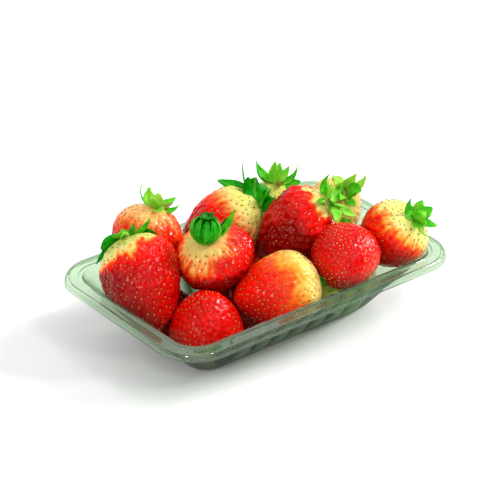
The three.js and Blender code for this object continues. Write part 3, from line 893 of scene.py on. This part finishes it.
dryness = node(t, "MapRange",
               {"Value": light.outputs["Fac"], "From Min": 1.0, "From Max": 1.6, "To Max": 0.8})
rib_far = node(t, "Math", {0: u_across.outputs["Fac"]}, operation="ABSOLUTE")
rib = node(t, "MapRange",
           {"Value": rib_far, "From Min": 0.0, "From Max": 0.14, "To Min": 0.22, "To Max": 0.0})
ribbed = node(t, "Mix", {"Factor": rib, 6: green, 7: linear(RIB_GREEN)}, data_type="RGBA")
dried = node(t, "Mix", {"Factor": dryness, 6: ribbed.outputs[2], 7: linear(DRY_BROWN)}, data_type="RGBA")
veins = node(t, "TexNoise", {"Vector": where.outputs["Object"], "Scale": 1 / LEAF_VEIN, "Detail": 2.0})
leaf_bump = node(t, "Bump", {"Height": veins, "Strength": 0.5, "Distance": 0.25 * MM})
leaf_face = node(t, "BsdfPrincipled", {"Base Color": dried.outputs[2], "Roughness": 0.38, "IOR": 1.45,
                                       "Specular IOR Level": 0.18, "Normal": leaf_bump})
leaf_glow = node(t, "BsdfTranslucent", {"Color": dried.outputs[2], "Normal": leaf_bump})
leaf_mix = node(t, "MixShader", {"Fac": LEAF_GLOW, 1: leaf_face, 2: leaf_glow})
node(t, "OutputMaterial", {"Surface": leaf_mix})
print("Leaf nodes:", len(t.nodes))

# %% [markdown]
# ## Placing the leaves
# The caps that show are placed leaf by leaf. The others get an even ring.

# %% Leaves of each cap
LEAVES = {
    # around, length, width, how it leaves the calyx and how it ends in degrees (0 is outward, 90 straight
    # back), roll, shape, tone
    "left": [
        (195, 15, 6, 4, -30, -42, "blunt", 0.2), (202, 21, 4, -9, -47, -39, "pointed", 0.15),
        (101, 20, 2.7, 7, 10, 2, "pointed", 0.3), (55, 14, 2.7, 7, 47, 25, "pointed", 0.45),
        (26, 13, 2.7, 21, -65, 40, "pointed", 0.15), (133, 11, 3.2, 7, -22, -37, "blunt", 0.8),
        (266, 9, 5, 30, 70, 0, "blunt", 0.5), (300, 12, 6, 5, 25, 0, "blunt", 0.4),
        (340, 11, 5, 0, 20, 0, "pointed", 0.35), (165, 9, 5, 8, 20, -10, "blunt", 0.55),
    ],
    "back_left": [
        (121, 14, 1.2, 14, 104, 21, "thin", 0.5), (143, 11, 4.5, 35, 125, 35, "pointed", 0.7),
        (89, 9, 4, 85, 136, -16, "pointed", 0.85), (34, 12, 5, 45, 75, 0, "blunt", 0.9),
        (22, 14, 4.5, 14, 9, -37, "pointed", 0.8), (316, 12, 3, -7, 83, -38, "pointed", 0.5),
        (301, 8, 2.5, 27, 61, -30, "pointed", 1.5), (222, 12, 5.5, 7, 40, 0, "pointed", 0.65),
        (265, 12, 5, 20, 50, 0, "pointed", 0.6), (180, 11, 5, 30, 60, 0, "pointed", 0.7),
        (60, 10, 5, 30, 60, 15, "blunt", 0.75),
    ],
    "squat": [
        (around, 20 + 0.5 * np.sin(around), 5.0, 20, 162 + 4 * np.sin(2 * around), 0, "thin",
         0.30 + 0.14 * np.sin(around))
        for around in range(10, 360, 40)
    ],
    "squat_tuft": [
        (around, 5, 3.0, 50, 15 + 20 * np.sin(around), 0, "pointed", 0.05) for around in range(0, 360, 60)
    ],
    "squat_side": [
        (258, 20, 3.5, 38, 91, -21, "pointed", 0.5), (240, 14, 5.5, 20, 100, 20, "pointed", 0.05),
    ],
    "big_back": [
        (113, 26, 7, -25, -45, 50, "blunt", 0.3), (118, 25, 3.5, -20, 40, 0, "thin", 0.35),
        (119, 17, 12.5, 0, 59, 48, "lobed", 0.14), (131, 11, 6, 54, 82, 39, "lobed", 0.4),
        (6, 11, 4.5, 104, 126, 4, "pointed", 0.15), (257, 10, 4.5, 33, 77, -20, "pointed", 0.85),
        (256, 8, 3, 15, 21, -29, "pointed", 0.5), (73, 14, 8, 41, 61, 30, "lobed", 0.35),
        (40, 12, 6, 55, 75, 0, "pointed", 0.2), (207, 12, 6, 30, 50, 0, "pointed", 0.35),
        (170, 12, 6, 20, 40, 0, "blunt", 0.4),
    ],
    "green": [
        (151, 15, 4.5, 24, 79, 37, "pointed", 0.4), (193, 12, 4.5, 78, 105, 14, "pointed", 0.85),
        (290, 11, 4, 58, 71, -20, "pointed", 0.7), (317, 15, 3, 19, 101, -35, "pointed", 0.5),
        (326, 12, 5, 4, 39, -38, "blunt", 0.35), (37, 13, 3, 18, 39, 24, "pointed", 1.4),
        (74, 13, 5, 69, 99, 0, "pointed", 0.65), (240, 12, 5, 40, 70, 0, "pointed", 0.55),
        (110, 9, 5, 20, 50, 0, "blunt", 0.55),
    ],
    "glossy": [
        (106, 15, 3.2, 11, 101, 46, "pointed", 0.45), (106, 8, 4, 44, 134, -42, "blunt", 0.85),
        (39, 16, 3, -10, 10, 11, "blunt", 0.4), (19, 15, 4, 16, 27, 10, "blunt", 0.35),
        (344, 14, 5, 11, -31, -28, "blunt", 0.68), (284, 14, 4, 22, 21, -35, "blunt", 0.75),
        (200, 11, 5, 30, 50, 0, "pointed", 0.65), (150, 10, 5, 20, 50, 0, "pointed", 0.65),
        (70, 9, 5, 40, 70, 0, "blunt", 0.75), (315, 10, 5, 35, 50, 0, "pointed", 0.65),
    ],
    "tan": [
        (111, 12, 4, -7, -43, 14, "blunt", 1), (121, 18, 4.5, 88, 107, 11, "pointed", 1),
        (194, 18, 3.5, 38, 128, -7, "pointed", 1), (268, 14, 6, 97, 24, -45, "blunt", 0.55),
        (278, 10, 3.5, 6, 50, -16, "blunt", 0.55), (332, 14, 4, 58, 11, -1, "blunt", 0.65),
        (52, 12, 5, 39, 59, 0, "pointed", 0.85), (20, 9, 5, 60, 100, 0, "blunt", 0.7),
        (150, 11, 5, 62, 92, 0, "pointed", 0.8), (235, 10, 5, 50, 80, 0, "pointed", 0.75),
    ],
    "right": [
        (71, 13, 4.2, 2, 92, 44, "pointed", 0.4), (115, 8, 4.5, 45, 113, 31, "blunt", 0.65),
        (29, 9, 4, 100, 190, -1, "blunt", 0.6), (349, 13, 4.5, 47, 47, 20, "blunt", 0.65),
        (346, 13, 4, 20, 40, -40, "blunt", 0.6), (43, 6, 4, 26, -61, 9, "blunt", 0.6),
        (307, 13, 1, -14, 65, -5, "thin", 0.6), (194, 10, 5, 29, 69, 0, "blunt", 0.5),
        (256, 10, 5, 22, 45, 0, "blunt", 0.5), (150, 9, 5, 30, 60, 0, "blunt", 0.5),
        (15, 9, 4.5, 30, 120, 0, "blunt", 0.55),
    ],
}
RING = {
    # name: how many, length, width, leave, end, turn
    "dark": (7, 8, 6, 0, 15, 0),
    "near": (7, 5, 5, 45, 70, 20),
    "under_front": (6, 8, 6, -25, -15, 0),
}
TURN_UNEVEN, LENGTH_UNEVEN, END_UNEVEN = 10, 0.15, 12
RING_TONE, TONE_UNEVEN = 0.35, 0.25


def calyx(name):
    """A berry's green cap as one piece."""
    leaves = LEAVES.get(name)
    if leaves is None:
        count, length, width, leave, end, turn = RING[name]
        # the sines stand in for chance, so that no two leaves of a ring are alike
        leaves = [(turn + 360 * k / count + TURN_UNEVEN * np.sin(5 * k),
                   length * (1 + LENGTH_UNEVEN * np.sin(3 * k + 1)), width, leave,
                   end + END_UNEVEN * np.sin(7 * k), 0, ("blunt", "pointed")[k % 2],
                   RING_TONE + TONE_UNEVEN * np.sin(4 * k)) for k in range(count)]
    rows, faces = [], []
    wide = LEAF_COLUMNS + 1
    for leaf in leaves:
        first = len(rows)
        rows += leaf_grid(name, *leaf)
        for row in range(LEAF_ROWS):
            for column in range(LEAF_COLUMNS):
                a = first + row * wide + column
                faces.append((a, a + 1, a + 1 + wide, a + wide))
    rows = np.array(rows)
    points = keep_inside(rows[:, :3])
    piece = mesh_piece("calyx_" + name, points, faces, [leaf_skin],
                       along=rows[:, 3], across=rows[:, 4], light=rows[:, 5])
    rounded = piece.modifiers.new("rounded", "SUBSURF")
    rounded.levels = rounded.render_levels = 1
    thick = piece.modifiers.new("thickness", "SOLIDIFY")
    thick.thickness = LEAF_THICKNESS * MM
    thick.offset = 0
    return piece


for name in [*LEAVES, *RING]:
    piece = calyx(name)
    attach(piece, "root")
    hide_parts("strawberries")
print("Caps:", len(LEAVES) + len(RING))

# %% [markdown]
# ## The floor
# A plain matt white floor, wide enough to fill the view from every side.

# %% Floor
FLOOR_HALF, FLOOR_DROP = 4000, 0.2

# Matt white paint, rolled on. It gives the eye a soft shadow and no gloss.
white, t = blank_material("matt_white_floor")
paint = node(t, "BsdfPrincipled",
             {"Base Color": linear("#E8E8E8"), "Roughness": 0.8, "Specular IOR Level": 0.2})
node(t, "OutputMaterial", {"Surface": paint})
corners = [(x * FLOOR_HALF, y * FLOOR_HALF, -FLOOR_DROP) for x, y in ((-1, -1), (1, -1), (1, 1), (-1, 1))]
floor = mesh_piece("floor", corners, [(0, 1, 2, 3)], [white])
